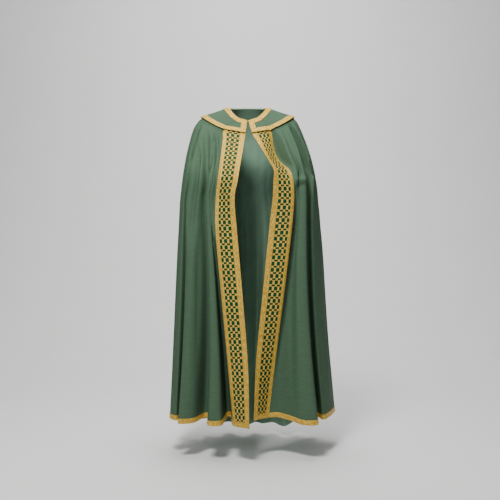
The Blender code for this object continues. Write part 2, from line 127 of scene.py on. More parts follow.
# The folds in order round the hem: where each meets the hem and its angle there in degrees, the share
# of the fall at which it starts, the cuts of the net before it, how many degrees it sways on the way
# down, and how far its end is lifted.
Fold = namedtuple("Fold", "name x y turn start cuts sway lift", defaults=(0.0, 0.0))
FOLDS = [
    Fold("right_recess", -0.071, -0.085, 11.3, 0.42, 3, -0.2, 0.013),
    Fold("right_recess_floor", -0.088, -0.075, 12.4, 0.42, 2, -0.8, 0.012),
    Fold("right_recess_flank", -0.100, -0.140, 13.8, 0.38, 2, -1.7, 0.006),
    Fold("right_pipe", -0.118, -0.212, 15.6, 0.10, 2, -3.9),
    Fold("right_pipe_edge", -0.166, -0.208, 20.6, 0.08, 2, -7.4),
    Fold("right_step", -0.172, -0.085, 23.6, 0.08, 2, -9.4, 0.009),
    Fold("right_step_floor", -0.190, -0.080, 26.6, 0.08, 2, -10.4, 0.008),
    Fold("right_panel", -0.240, -0.158, 33.0, 0.06, 2, -10.0),
    Fold("right_panel_edge", -0.297, -0.168, 46.2, 0.04, 3, -10.0),
    Fold("right_side_step", -0.280, -0.068, 52.4, 0.04, 2, -10.0),
    Fold("right_side_floor", -0.293, -0.060, 56.2, 0.04, 2, -10.0),
    Fold("right_side_lip", -0.315, -0.101, 60.2, 0.04, 3, -9.6),
    Fold("right_side", -0.347, -0.035, 74.0, 0.05, 2, -6.0),
    Fold("right_seam", -0.292, 0.045, 94.0, 0.08, 2, -1.0),
    Fold("right_back_1", -0.340, 0.112, 106.0, 0.10, 3),
    Fold("right_back_2", -0.268, 0.142, 116.0, 0.16, 3),
    Fold("right_back_3", -0.282, 0.238, 127.0, 0.09, 3),
    Fold("right_back_4", -0.216, 0.206, 137.0, 0.12, 3),
    Fold("right_back_5", -0.198, 0.302, 148.0, 0.10, 3),
    Fold("right_back_6", -0.148, 0.262, 158.0, 0.24, 3),
    Fold("right_back_7", -0.092, 0.345, 168.0, 0.11, 3),
    Fold("centre_back", -0.020, 0.268, 177.0, 0.10, 3),
    Fold("left_back_7", 0.038, 0.352, 186.0, 0.14, 3),
    Fold("left_back_6", 0.072, 0.300, 193.0, 0.26, 3),
    Fold("left_back_5", 0.122, 0.346, 200.0, 0.10, 3, 0.0, -0.012),
    Fold("left_back_4", 0.176, 0.246, 207.0, 0.09, 3, 0.0, -0.018),
    Fold("left_back_3", 0.236, 0.312, 214.0, 0.09, 3, 0.0, -0.012),
    Fold("left_back_2", 0.262, 0.244, 221.0, 0.22, 3, 0.0, -0.004),
    Fold("left_back_1", 0.324, 0.268, 228.0, 0.08, 3),
    Fold("left_seam", 0.322, 0.188, 236.0, 0.08, 2),
    Fold("left_side_back", 0.402, 0.180, 247.0, 0.06, 3, 1.5),
    Fold("left_side", 0.396, 0.085, 264.0, 0.05, 2, 4.0),
    Fold("left_side_front", 0.366, -0.020, 283.0, 0.04, 2, 7.0),
    Fold("left_side_lip", 0.332, -0.086, 297.5, 0.04, 2, 10.6),
    Fold("left_side_floor", 0.312, -0.036, 301.5, 0.04, 2, 10.8),
    Fold("left_side_step", 0.293, -0.044, 305.0, 0.04, 2, 10.6),
    Fold("left_panel_edge", 0.297, -0.196, 311.0, 0.04, 3, 10.0),
    Fold("left_panel_ridge", 0.237, -0.200, 320.0, 0.06, 3, 6.5, 0.001),
    Fold("left_panel", 0.192, -0.165, 325.4, 0.16, 2, 3.2, 0.010),
    Fold("left_panel_hollow", 0.132, -0.125, 332.3, 0.22, 2, 1.0, 0.019),
]

# The axis that the cloth faces along on each side of the wearer, and which way along it.
SIDES = {"front": (1, -1), "back": (1, 1), "right": (0, -1), "left": (0, 1)}

# Creases placed on the side they are seen from, in millimetres. Each has its width, then its
# places: how far across, the height, and how far the cloth is lifted there, above nought for a ridge
# and below for a trough. The ends aren't lifted.
CREASES = {
    "front": [
        # The wearer's right: beside the band, over the shoulder and along the arm.
        (11, (-138, -110), (-131, -180, -13), (-130, -250, -15), (-134, -320, -11), (-139, -400)),
        (12, (-172, -90), (-159, -140, 8), (-155, -210, 10), (-158, -280, 10), (-164, -360, 6),
         (-170, -440)),
        (13, (-182, -140), (-180, -210, -9), (-180, -300, -10), (-182, -380)),
        (15, (-190, -85), (-202, -140, 9), (-199, -200, 11), (-197, -270, 11), (-200, -380, 8),
         (-206, -500)),
        (10, (-205, -190), (-212, -260, -14), (-221, -340, -18), (-234, -440, -14), (-242, -560, -6),
         (-246, -660)),
        (8, (-207, -126), (-216, -174, 6), (-226, -230, 9), (-237, -300, 10), (-246, -360, 8),
         (-258, -430, 6), (-262, -550, 4), (-266, -660)),
        (9, (-220, -110), (-236, -190, -8), (-247, -260, -10), (-257, -350, -7), (-266, -440)),
        (15, (-230, -520), (-237, -660, 6), (-243, -860, 6), (-249, -1100, 4), (-252, -1300)),
        (13, (-206, -540), (-212, -700, -7), (-213, -950, -6), (-222, -1220)),
        # The wearer's left: beside the band, over the bent forearm and along the arm.
        (13, (92, -90), (106, -140, -11), (122, -200, -17), (148, -250, -13), (180, -290)),
        (13, (128, -100), (146, -140, 5), (160, -180, 8), (176, -230, 8), (194, -280, 9),
         (206, -330, 10), (216, -370)),
        (10, (168, -90), (190, -150, 9), (209, -210, 12), (226, -270, 12), (240, -335, 9), (248, -400)),
        (10, (188, -85), (204, -120, -14), (220, -170, -26), (234, -215, -32), (248, -260, -34),
         (258, -310, -32), (261, -370, -24), (262, -500)),
        (8, (202, -85), (218, -116, 10), (236, -164, 18), (252, -211, 20), (266, -258, 20),
         (278, -310, 17), (284, -400, 8), (288, -540)),
        (7, (236, -120), (257, -170, -7), (273, -225, -10), (287, -290, -11), (296, -370, -8),
         (302, -480)),
        (12, (196, -338), (216, -342, 9), (240, -342, 9), (254, -345)),
        (10, (214, -366), (228, -366, -6), (244, -368, -6), (260, -374)),
        (12, (203, -320), (206, -360, 9), (207, -430, 8), (204, -520)),
        (14, (182, -620), (186, -850, -4), (186, -1120, -3), (190, -1300)),
        (16, (204, -480), (214, -800, 4), (226, -1240)),
    ],
    "right": [
        (16, (-30, -300), (-38, -520, -5), (-30, -800, -6), (-36, -1100, -3), (-34, -1300)),
        (14, (0, -90), (10, -250, 5), (4, -450, 6), (16, -700, 4), (10, -950)),
        (12, (55, -70), (62, -200, -6), (70, -420, -5), (64, -640)),
        (12, (90, -120), (100, -300, 5), (104, -520, 6), (112, -760, 3), (118, -950)),
        (18, (50, -750), (40, -950, 4), (48, -1180, 4), (44, -1340)),
    ],
    "left": [
        (12, (-15, -110), (-22, -300, 5), (-14, -520, 6), (-22, -760)),
        (14, (10, -90), (22, -260, -6), (16, -480, -7), (30, -720, -5), (26, -980)),
        (18, (60, -80), (70, -240, 6), (82, -480, 6), (78, -800, 4), (90, -1100)),
        (14, (105, -120), (118, -340, -6), (130, -600, -7), (126, -900, -5), (138, -1200)),
        (20, (50, -640), (56, -860, -5), (50, -1120, -5), (58, -1330)),
        (14, (-10, -900), (-2, -1100, 5), (-8, -1320)),
    ],
    "back": [
        (12, (-215, -90), (-232, -260, 5), (-240, -440, 5), (-236, -640)),
        (14, (-150, -60), (-165, -240, -6), (-160, -460, -5), (-176, -700)),
        (16, (-60, -30), (-75, -180, 6), (-70, -380, 6), (-85, -600)),
        (12, (-10, -300), (-20, -480, 4), (-12, -700, 5), (-20, -900)),
        (20, (20, -40), (40, -200, -7), (30, -420, -6), (45, -650)),
        (14, (120, -50), (135, -220, 6), (140, -420, 5), (132, -620)),
        (14, (200, -80), (215, -260, -6), (222, -500, -5), (235, -760)),
        (12, (40, -920), (30, -1120, 4), (34, -1360)),
        (12, (-120, -800), (-128, -1050, -4), (-120, -1300)),
    ],
}
# How finely a crease's line is followed, how squarely the cloth must face its side to be creased, how
# much the cloth nearest to that side is preferred, how often the line is evened, and a far distance.
CREASE_STEPS = 4
CREASE_FACING = 0.15
NEAR_SHARE = 0.1
PATH_PASSES = 3
HIDDEN = 9.0
# How many columns and rows to each side a direction is averaged over.
CALM_COLUMNS = 8
CALM_ROWS = 2

# The falls of the collar's edge and the hem turning, which the net keeps as rows of its own.
COLLAR_DROP = 0.049
TURNING_DROP = SIDE_FALL - BRAID_WIDTH
# The fall at which the threads run level.
LEVEL_DROP = 0.42
# How finely the net and the strips are cut.
ROW_STEP = 0.0085
COLUMNS_PER_CUT = 5
LAST_CUTS = 2
SPAN_COLUMNS = [count * COLUMNS_PER_CUT for count in (*(fold.cuts for fold in FOLDS), LAST_CUTS)]
# A band has four cuts: a braid, the two halves of its check, and a braid.
BAND_CUTS = 4
COLUMNS_PER_BAND_CUT = 5
BAND_COLUMNS = BAND_CUTS * COLUMNS_PER_BAND_CUT
BRAID_CUTS = 6
FRONT_BRAID_CUTS = 10
# The angle past which an edge is sharp, a length too small to divide by, and a metre in millimetres.
SHARP_ANGLE = math.radians(50)
TINY = 1e-12
MILLIMETRES = 1000

# Where the cope stands in the studio, and the camera that looks at it.
FLOOR_LEVEL = -1.54
PAPER_HALF = 12.0
PAPER_BACK = 4.5
PAPER_HEIGHT = 9.0
PAPER_SWEEP = 3.0
CAMERA_PLACE = (0.0099, -3.6, -0.64)
CAMERA_SENSOR = 36.0
CAMERA_LENS = 57.6

# A kind of cloth: its wall, the finishes of its outer side and rim and of its inner side, its slot,
# and what its pattern follows, which is the cut, the band's check or the run of a braid.
Cloth = namedtuple("Cloth", "wall finishes slot follows")
# The mantle's inner side takes the lining's finish, whose paler green is painted light against the shade
# inside the cope.
MANTLE_CLOTH = Cloth(MANTLE_WALL, ("slubbed_cloth", "twill_lining"), "green_cloth", "cut")
COLLAR_CLOTH = MANTLE_CLOTH._replace(wall=COLLAR_WALL)
LINING_CLOTH = Cloth(LINING_WALL, ("twill_lining",), "lining_cloth", "cut")
CHECK_CLOTH = Cloth(ORPHREY_WALL, ("woven_check",), "checker_band", "check")
BRAID_CLOTH = Cloth(BRAID_WALL, ("gold_braid_weave",), "gold_braid", "braid")


def blend(a, b, share):
    """The value or point that lies a share of the way from a to b."""
    return a + (b - a) * share


def read_table(table, value):
    """A row of the table at a value of its first column, on smooth curves through the rows."""
    keys = [row[0] for row in table]
    low = min(max(bisect_right(keys, value) - 1, 0), len(table) - 2)
    span = keys[low + 1] - keys[low]
    share = min(max((value - keys[low]) / span, 0.0), 1.0)

    def slope(index, column):
        before, after = max(index - 1, 0), min(index + 1, len(table) - 1)
        return (table[after][column] - table[before][column]) / (keys[after] - keys[before])

    values = []
    for column in range(len(table[0])):
        start, end = table[low][column], table[low + 1][column]
        curve = (
            start * (1 + 2 * share) * (1 - share) ** 2
            + end * (3 - 2 * share) * share**2
            + slope(low, column) * span * share * (1 - share) ** 2
            - slope(low + 1, column) * span * share**2 * (1 - share)
        )
        values.append(curve)
    return type(table[0])(*values)


def plan_point(section, angle):
    """The plan's point at an angle in degrees: 0 is the front, 90 the wearer's right, 180 the back."""
    sine, cosine = math.sin(math.radians(angle)), math.cos(math.radians(angle))
    half = section.right if sine > 0 else section.left
    depth = section.front if cosine > 0 else section.back
    fall = section.front_drop if cosine > 0 else section.back_drop
    power = 2 / SQUARENESS
    x = -half * math.copysign(abs(sine) ** power, sine)
    y = -depth * math.copysign(abs(cosine) ** power, cosine)
    return Vector((x, y, -(section.drop * sine**2 + fall * cosine**2)))


def plan_angle(section, x, y):
    """The angle at which the plan points towards (x, y)."""
    across = abs(x) / (section.right if x < 0 else section.left)
    along = abs(y) / (section.front if y < 0 else section.back)
    angle = math.degrees(math.atan2(across ** (SQUARENESS / 2), along ** (SQUARENESS / 2)))
    if y > 0:
        angle = 180 - angle
    return angle if x < 0 else 360 - angle


def edge_points(section, table, lift):
    """The inner and outer edge of one front's band on a section."""
    edge = read_table(table, section.front_drop)
    grow = (section.drop / SIDE_FALL) ** 3
    points = []
    for x, y in ((edge.in_x, edge.in_y), (edge.out_x, edge.out_y)):
        level = plan_point(section, plan_angle(section, x, y)).z
        points.append(Vector((x, y, level + lift * grow)))
    return points


def row_stations(drop):
    """The points of one row at the band edges and the folds."""
    section, hem = read_table(SECTIONS, drop), SECTIONS[-1]
    fall = drop / SIDE_FALL
    right_edge = edge_points(section, RIGHT_FRONT, 0.0)
    left_edge = edge_points(section, LEFT_FRONT, LEFT_FRONT_LIFT)
    hem_edges = (edge_points(hem, table, 0.0) for table in (RIGHT_FRONT, LEFT_FRONT))
    first, last = (plan_angle(section, *edge[1].to_2d()) for edge in (right_edge, left_edge))
    hem_first, hem_last = (plan_angle(hem, *edge[1].to_2d()) for edge in hem_edges)
    stations = right_edge
    for fold in FOLDS:
        turn = fold.turn + fold.sway * math.sin(math.pi * fall**SWING)
        share = (turn - hem_first) / (hem_last - hem_first)
        smooth, reach = plan_point(section, blend(first, last, share)), plan_point(hem, fold.turn)
        grow = max((fall - fold.start) / (1 - fold.start), 0.0) ** GROWTH
        stations.append(smooth + Vector((fold.x - reach.x, fold.y - reach.y, fold.lift)) * grow)
    stations.extend(reversed(left_edge))
    return stations


def curve_through(points, index, shares):
    """Points on the smooth curve through an array of points, between one and the next."""
    one, two = points[index], points[index + 1]
    before = points[index - 1] if index else 2 * one - two
    after = points[index + 2] if index + 2 < len(points) else 2 * two - one
    knots = [0.0]
    for start, end in ((before, one), (one, two), (two, after)):
        knots.append(knots[-1] + math.sqrt(numpy.linalg.norm(end - start)))
    k0, k1, k2, k3 = knots
    here = blend(k1, k2, shares)[:, None]
    entering = blend(before, one, (here - k0) / (k1 - k0))
    crossing = blend(one, two, (here - k1) / (k2 - k1))
    leaving = blend(two, after, (here - k2) / (k3 - k2))
    early = blend(entering, crossing, (here - k0) / (k2 - k0))
    late = blend(crossing, leaving, (here - k1) / (k3 - k1))
    return blend(early, late, (here - k1) / (k2 - k1))


def band_shares(start, end):
    """The shares of a band's row at its inner edge, its two braid seams and its outer edge."""
    braid_seam = BRAID_WIDTH / numpy.linalg.norm(end - start)
    outer_seam = blend(braid_seam, 1.0, (1 - 2 * BRAID_SHARE) / (1 - BRAID_SHARE))
    seams = [0.0, braid_seam, (braid_seam + outer_seam) / 2, outer_seam, 1.0]
    marks = numpy.arange(BAND_COLUMNS + 1) / COLUMNS_PER_BAND_CUT
    return numpy.interp(marks, range(BAND_CUTS + 1), seams)


def net_row(stations):
    """One row of the net, a point for each column."""
    stations = numpy.array(stations)
    parts = [curve_through(stations, 0, band_shares(*stations[:2])[:-1])]
    for span, steps in enumerate(SPAN_COLUMNS, start=1):
        parts.append(curve_through(stations, span, numpy.arange(steps) / steps))
    shares = 1 - band_shares(stations[-1], stations[-2])[::-1]
    parts.append(curve_through(stations, len(stations) - 2, shares))
    return numpy.concatenate(parts)


def row_drops():
    """The falls of the net's rows, with the seam, the collar's edge, the hem turning and the hem."""
    marks = [SECTIONS[0].drop, COLLAR_DROP, TURNING_DROP, SIDE_FALL]
    drops = []
    for top, bottom in zip(marks, marks[1:]):
        count = max(round((bottom - top) / ROW_STEP), 1)
        drops.extend(blend(top, bottom, step / count) for step in range(count))
    return drops + [SIDE_FALL]


def unit(vectors):
    """The vectors at length one."""
    return vectors / numpy.maximum(numpy.linalg.norm(vectors, axis=-1, keepdims=True), TINY)


def lengths(points, axis):
    """The running length along an axis of a grid of points."""
    steps = numpy.linalg.norm(numpy.diff(points, axis=axis), axis=-1)
    start = numpy.zeros_like(numpy.take(steps, [0], axis=axis))
    return numpy.concatenate([start, numpy.cumsum(steps, axis=axis)], axis=axis)


def values_at(rows, column):
    """A column's places or directions at part rows."""
    return numpy.stack([numpy.interp(rows, range(len(column)), column[:, axis]) for axis in range(3)], -1)


# A stretch of the net: its first and last column, its top and bottom as a row and a signed distance
# from it, how far its two sides are trimmed back, the cuts of a strip in place of the net's own rows,
# and the axis across it, 0 for columns or 1 for rows.
Stretch = namedtuple("Stretch", "first last top bottom trims cuts across", defaults=((0.0, 0.0), None, 0))


class Drape:
    """The draped surface as a fine net of points [column, row], each with its outward direction."""

    def __init__(self, strength):
        self.drops = numpy.array(row_drops())
        rows = [net_row(row_stations(drop)) for drop in self.drops]
        self.points = numpy.stack(rows, axis=1)
        self.last_column, self.last_row = self.points.shape[0] - 1, self.points.shape[1] - 1
        self.collar_row = int(numpy.argmin(abs(self.drops - COLLAR_DROP)))
        self.turning_row = int(numpy.argmin(abs(self.drops - TURNING_DROP)))
        for side, creases in CREASES.items():
            for width, *places in creases:
                line = numpy.array([(*place, 0)[:3] for place in places])
                self.press(side, width / MILLIMETRES, line / MILLIMETRES, strength)
        self.outward = self.directions()
        self.fall = lengths(self.points, 1)

    def fold_column(self, name):
        """The column that runs down a fold."""
        spans = [fold.name for fold in FOLDS].index(name) + 1
        return BAND_COLUMNS + sum(SPAN_COLUMNS[:spans])

    def directions(self):
        """Square to the surface, away from the wearer."""
        along = numpy.gradient(self.points, axis=0)
        down = numpy.gradient(self.points, axis=1)
        return unit(numpy.cross(along, down))

    def calm_directions(self):
        """The outward directions averaged over their neighbours, so that crowded columns stay even."""
        calm = self.directions()
        for axis, reach in ((0, CALM_COLUMNS), (1, CALM_ROWS)):
            ends = [(reach, reach) if side == axis else (0, 0) for side in range(3)]
            runs = numpy.cumsum(numpy.pad(calm, ends, mode="edge"), axis=axis)
            count = calm.shape[axis] - 1
            ahead = numpy.take(runs, range(2 * reach, 2 * reach + count + 1), axis=axis)
            behind = numpy.take(runs, range(count), axis=axis)
            pad = [(1, 0) if side == axis else (0, 0) for side in range(3)]
            calm = ahead - numpy.pad(behind, pad)
        return unit(calm)

    def press(self, side, width, line, strength):
        """Raise a soft ridge, or sink a trough, along a line seen from one side."""
        axis, way = SIDES[side]
        outward = self.calm_directions()
        faced = numpy.clip(outward[..., axis] * way / CREASE_FACING, 0.0, 1.0)
        behind = numpy.where(faced > 0, -NEAR_SHARE * self.points[..., axis] * way, HIDDEN)
        seen = self.points[..., (1 - axis, 2)]
        shares = numpy.arange(CREASE_STEPS) / CREASE_STEPS
        steps = [curve_through(line, index, shares) for index in range(len(line) - 1)]
        line = numpy.concatenate([*steps, line[-1:]])

        # Where the line lies on the cloth, and which way the cloth faces there, both evened out.
        path, aims = [], []
        for place in line:
            gap = numpy.linalg.norm(seen - place[:2], axis=-1)
            near = faced * numpy.exp(-((gap / width) ** 2))
            aims.append((near[..., None] * outward).sum(axis=(0, 1)))
            path.append(self.points[numpy.unravel_index((gap + behind).argmin(), gap.shape)])
        path, aims = numpy.array(path), unit(numpy.array(aims))
        for _ in range(PATH_PASSES):
            for trail in (path, aims):
                trail[1:-1] = (trail[:-2] + 2 * trail[1:-1] + trail[2:]) / 4

        # Each point is pushed as the nearest place on the line is, and less the further off it lies.
        pushes = aims * line[:, 2:]
        nearest, push = numpy.full(faced.shape, HIDDEN), numpy.zeros(self.points.shape)
        for one, two, rise, fall in zip(path, path[1:], pushes, pushes[1:]):
            run = two - one
            share = numpy.clip(((self.points - one) @ run) / max(run @ run, TINY), 0.0, 1.0)[..., None]
            distance = numpy.linalg.norm(self.points - (one + share * run), axis=-1)
            push = numpy.where((distance < nearest)[..., None], blend(rise, fall, share), push)
            nearest = numpy.minimum(nearest, distance)
        push *= (strength * faced * numpy.exp(-((nearest / width) ** 2)))[..., None]
        self.points += push

    def walk(self, column, row, distance):
        """The part row that lies a signed distance down the column from a row."""
        fall = self.fall[column]
        return float(numpy.interp(fall[row] + distance, fall, range(len(fall))))

    def lay(self, stretch):
        """A stretch's points, outward directions and part rows, as grids of columns and rows."""
        points, outward, marks = [], [], []
        for column in range(stretch.first, stretch.last + 1):
            top, bottom = self.walk(column, *stretch.top), self.walk(column, *stretch.bottom)
            if stretch.cuts:
                rows = numpy.linspace(top, bottom, stretch.cuts + 1)
            else:
                between = numpy.arange(stretch.top[0] + 1, stretch.bottom[0])
                rows = numpy.concatenate([[top], between, [bottom]])
            points.append(values_at(rows, self.points[column]))
            outward.append(unit(values_at(rows, self.outward[column])))
            marks.append(rows)
        points, outward, marks = numpy.array(points), numpy.array(outward), numpy.array(marks)
        first_trim, last_trim = stretch.trims
        points[0] += unit(points[1] - points[0]) * first_trim
        points[-1] += unit(points[-2] - points[-1]) * last_trim
        return points, outward, marks


def cloth_mesh(name, inner, outer, uv, finishes):
    """A wall of cloth between two grids of points, with the outer side, inner side and rim finished.

    `finishes` holds the material of the outer side and rim, then that of the inner side.
    """
    columns, rows = outer.shape[:2]
    cut = bmesh.new()
    bmesh.ops.create_grid(cut, x_segments=columns - 1, y_segments=rows - 1, size=1.0)
    raised = bmesh.ops.extrude_face_region(cut, geom=cut.faces[:], use_keep_orig=True)["geom"]
    lifted = [part for part in raised if isinstance(part, bmesh.types.BMVert)]
    bmesh.ops.translate(cut, verts=lifted, vec=(0.0, 0.0, 1.0))
    bmesh.ops.recalc_face_normals(cut, faces=cut.faces)
    data = bpy.data.meshes.new(name)
    cut.to_mesh(data)
    cut.free()

    flat = numpy.empty(len(data.vertices) * 3)
    data.vertices.foreach_get("co", flat)
    flat = flat.reshape(-1, 3)
    column = numpy.rint((flat[:, 0] + 1) / 2 * (columns - 1)).astype(int)
    row = numpy.rint((flat[:, 1] + 1) / 2 * (rows - 1)).astype(int)
    upper = flat[:, 2] > 0.5
    laid = numpy.where(upper[:, None], outer[column, row], inner[column, row])
    data.vertices.foreach_set("co", laid.ravel())

    corners = numpy.empty(len(data.loops), int)
    data.loops.foreach_get("vertex_index", corners)
    layer = data.uv_layers.new(name="cloth")
    layer.data.foreach_set("uv", uv[column, row][corners].ravel())
    for finish in finishes:
        data.materials.append(finish)
    if len(finishes) > 1:
        sides = numpy.zeros(len(data.polygons), int)
        starts = numpy.empty(len(data.polygons), int)
        data.polygons.foreach_get("loop_start", starts)
        under = [~upper[corners[starts + step]] for step in range(4)]
        sides[numpy.logical_and.reduce(under)] = 1
        data.polygons.foreach_set("material_index", sides)
    data.shade_smooth()
    data.set_sharp_from_angle(angle=SHARP_ANGLE)
    data.update()
    return data


def put_in_scene(name, data):
    """A new object that holds the data."""
    thing = bpy.data.objects.new(name, data)
    bpy.context.scene.collection.objects.link(thing)
    return thing


def pattern_places(cloth, points, share, across):
    """Where each point lies on the cloth's pattern, in metres, or in a share of the band across it."""
    width, fall = lengths(points, 0), lengths(points, 1)
    if cloth.follows == "check":
        places = share, fall.mean(axis=0)[None, :]
    elif cloth.follows == "braid":
        places = share * BRAID_WIDTH, width.mean(axis=1)[:, None] if across else fall.mean(axis=0)[None, :]
    else:
        level = min(int(numpy.searchsorted(the_drape().drops, LEVEL_DROP)), fall.shape[1] - 1)
        places = width, fall - fall[:, level:level + 1]
    return numpy.stack(numpy.broadcast_arrays(*places), axis=-1)


def cloth_piece(name, cloth, stretch, under):
    """Lay a piece of cloth on the drape, to ride on the cope and stand for the solid of its name.

    `under` is the layer of its inner side. A braid is thicker along its middle.
    """
    points, outward, marks = the_drape().lay(stretch)
    layer = under(marks) if callable(under) else numpy.full(marks.shape, under)
    share = numpy.linspace(0.0, 1.0, points.shape[stretch.across])
    share = share[None, :] if stretch.across else share[:, None]
    crown = bpy.context.scene.cope_sizes.braid_crown if cloth.follows == "braid" else 0.0
    bulge = crown * (1 - (2 * share - 1) ** 4)
    inner = points + outward * layer[..., None]
    outer = points + outward * (layer + cloth.wall + bulge)[..., None]
    uv = pattern_places(cloth, points, share, stretch.across)
    finishes = [finish_named(finish) for finish in cloth.finishes]
    piece = put_in_scene(f"{name}_cloth", cloth_mesh(f"{name}_cloth", inner, outer, uv, finishes))
    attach(piece, "root")
    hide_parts(name)


def collar_layer(marks):
    """How far out the collar's underside lies: on the neck seam, and standing off at its edge."""
    edge = the_drape().collar_row
    return LAYER_GAP + COLLAR_STAND * (numpy.clip(marks, 0, edge) / edge) ** 2


def collar_braid_layer(marks):
    """The layer of the braid that lies on the collar."""
    return collar_layer(marks) + COLLAR_WALL + COLLAR_BRAID_GAP


class Shades:
    """A material's node tree, with short ways to add and join its nodes."""

    def __init__(self, name, roughness, metallic=0.0, specular=0.5):
        self.material = bpy.data.materials.new(name)
        self.material.use_nodes = True
        self.tree = self.material.node_tree
        self.shader = self.tree.nodes["Principled BSDF"]
        self.shader.inputs["Roughness"].default_value = roughness
        self.shader.inputs["Metallic"].default_value = metallic
        self.shader.inputs["Specular IOR Level"].default_value = specular

    def add(self, kind, settings=None, **inputs):
        """A node with its settings, and its inputs set to values or joined to other nodes.

        An input is given by its name, or by n and its number where several share one name.
        """
        node = self.tree.nodes.new(f"ShaderNode{kind}")
        for key, value in (settings or {}).items():
            setattr(node, key, value)
        for key, value in inputs.items():
            socket = node.inputs[int(key[1:]) if key[1:].isdigit() else key]
            if isinstance(value, bpy.types.NodeSocket):
                self.tree.links.new(value, socket)
            else:
                socket.default_value = value
        return node

    def cloth_place(self):
        """The cloth's own coordinates."""
        return self.add("UVMap", {"uv_map": "cloth"}).outputs["UV"]

    def cloth_parts(self):
        """How far across and how far down, each by itself."""
        return self.add("SeparateXYZ", Vector=self.cloth_place()).outputs

    def noise(self, place, scale=1.0, detail=3.0):
        """Soft random variation."""
        return self.add("TexNoise", Vector=place, Scale=scale, Detail=detail, Roughness=0.55).outputs["Fac"]

    def threads(self, across, down, detail=3.0):
        """Variation drawn out along the threads, so fine across and so fine down the cloth."""
        place = self.add("Mapping", Vector=self.cloth_place(), Scale=(across, down, 1.0))
        return self.noise(place.outputs["Vector"], detail=detail)

    def choose(self, share, one, two):
        """One value turning into another."""
        return self.add("Mix", {"data_type": "FLOAT"}, n0=share, n2=one, n3=two).outputs[0]

    def math(self, operation, one, two=0.0, three=0.0):
        """Arithmetic on one, two or three values."""
        return self.add("Math", {"operation": operation}, n0=one, n1=two, n2=three).outputs["Value"]

    def spread(self, value, low, high, bottom=0.0, top=1.0):
        """A value's range from low to high, stretched from bottom to top."""
        smooth = {"interpolation_type": "SMOOTHSTEP"}
        ends = {"n1": low, "n2": high, "n3": bottom, "n4": top}
        return self.add("MapRange", smooth, n0=value, **ends).outputs["Result"]

    def mix(self, share, one, two):
        """One colour turning into another."""
        return self.add("Mix", {"data_type": "RGBA"}, n0=share, n6=one, n7=two).outputs[2]

    def tones(self, share, colour, low, high):
        """One colour from a darker tone to a lighter one."""
        return self.mix(share, shade(colour, low), shade(colour, high))

    def fleck(self, colour, value, low, high, most, other):
        """The colour with flecks of another, where a value is between low and high or above."""
        return self.mix(self.spread(value, low, high, 0.0, most), colour, other)

    def bump(self, height, distance, strength=1.0, under=None):
        """Relief, over other relief."""
        inputs = {"Height": height, "Distance": distance, "Strength": strength}
        if under is not None:
            inputs["Normal"] = under
        return self.add("Bump", **inputs).outputs["Normal"]

    def finish(self, colour, normal):
        """Join the colour and the relief to the shader."""
        self.tree.links.new(colour, self.shader.inputs["Base Color"])
        self.tree.links.new(normal, self.shader.inputs["Normal"])
        return self.material


def shade(colour, factor=1.0):
    """A colour made lighter or darker, as a node's four values."""
    return (*(channel * factor for channel in colour[:3]), 1.0)


def mantle_finish(name):
    """Green cloth with long slubs across it and a fine plain weave."""
    cloth = bpy.context.scene.cope_colours.cloth
    shades = Shades(name, roughness=0.78, specular=0.10)
    slub = shades.threads(36.0, 640.0, detail=2.0)
    wide_slub = shades.threads(13.0, 210.0, detail=2.0)
    patch = shades.threads(3.0, 5.0)
    thread = shades.threads(1500.0, 300.0, detail=1.0)
    colour = shades.tones(shades.spread(slub, 0.35, 0.70), cloth, 0.86, 1.14)
    colour = shades.fleck(colour, wide_slub, 0.42, 0.68, 0.38, shade(cloth, 1.35))
    colour = shades.fleck(colour, patch, 0.3, 0.7, 0.45, shade(cloth, 1.08))
    colour = shades.fleck(colour, thread, 0.3, 0.7, 0.25, shade(cloth, 0.80))
    relief = shades.bump(slub, 0.0006, 0.5)
    return shades.finish(colour, shades.bump(thread, 0.0003, 0.4, relief))


def lining_finish(name):
    """Green lining with a fine slanting twill; its own dark green is made paler than the cloth's, as
    painted light against the shade inside the cope.
    """
    lining = bpy.context.scene.cope_colours.lining
    shades = Shades(name, roughness=0.7, specular=0.15)
    twill = shades.add(
        "TexWave", {"wave_type": "BANDS", "bands_direction": "DIAGONAL"},
        Vector=shades.cloth_place(), Scale=180.0, Distortion=0.6,
    ).outputs["Fac"]
    patch = shades.threads(5.0, 3.0)
    colour = shades.tones(shades.spread(patch, 0.3, 0.7), lining, 0.85, 1.15)
    colour = shades.fleck(colour, twill, 0.2, 0.8, 0.3, shade(lining, 0.7))
    return shades.finish(colour, shades.bump(twill, 0.0002, 0.4))


def braid_finish(name):
    """Flat gold braid: slanting threads that meet in a herringbone, with paler and darker flecks."""
    colours = bpy.context.scene.cope_colours
    ribs, threads, slope = 6.0, 420.0, 1.6
    shades = Shades(name, roughness=0.55, metallic=0.2, specular=0.2)
    parts = shades.cloth_parts()
    slant = shades.math("PINGPONG", shades.math("MULTIPLY", parts["X"], ribs / BRAID_WIDTH), 1.0)
    along = shades.math("MULTIPLY", parts["Y"], threads)
    thread = shades.math("PINGPONG", shades.math("ADD", along, shades.math("MULTIPLY", slant, slope)), 1.0)
    speckle = shades.threads(420.0, 420.0, detail=2.0)
    patch = shades.threads(150.0, 60.0)
    colour = shades.tones(shades.spread(thread, 0.1, 0.8), colours.braid, 0.55, 1.10)
    colour = shades.fleck(colour, patch, 0.40, 0.62, 0.75, shade(colours.braid_light))
    colour = shades.fleck(colour, speckle, 0.48, 0.70, 0.7, shade(colours.braid, 0.45))
    relief = shades.bump(thread, 0.0005, 0.7)
    return shades.finish(colour, shades.bump(slant, 0.0003, 0.4, relief))


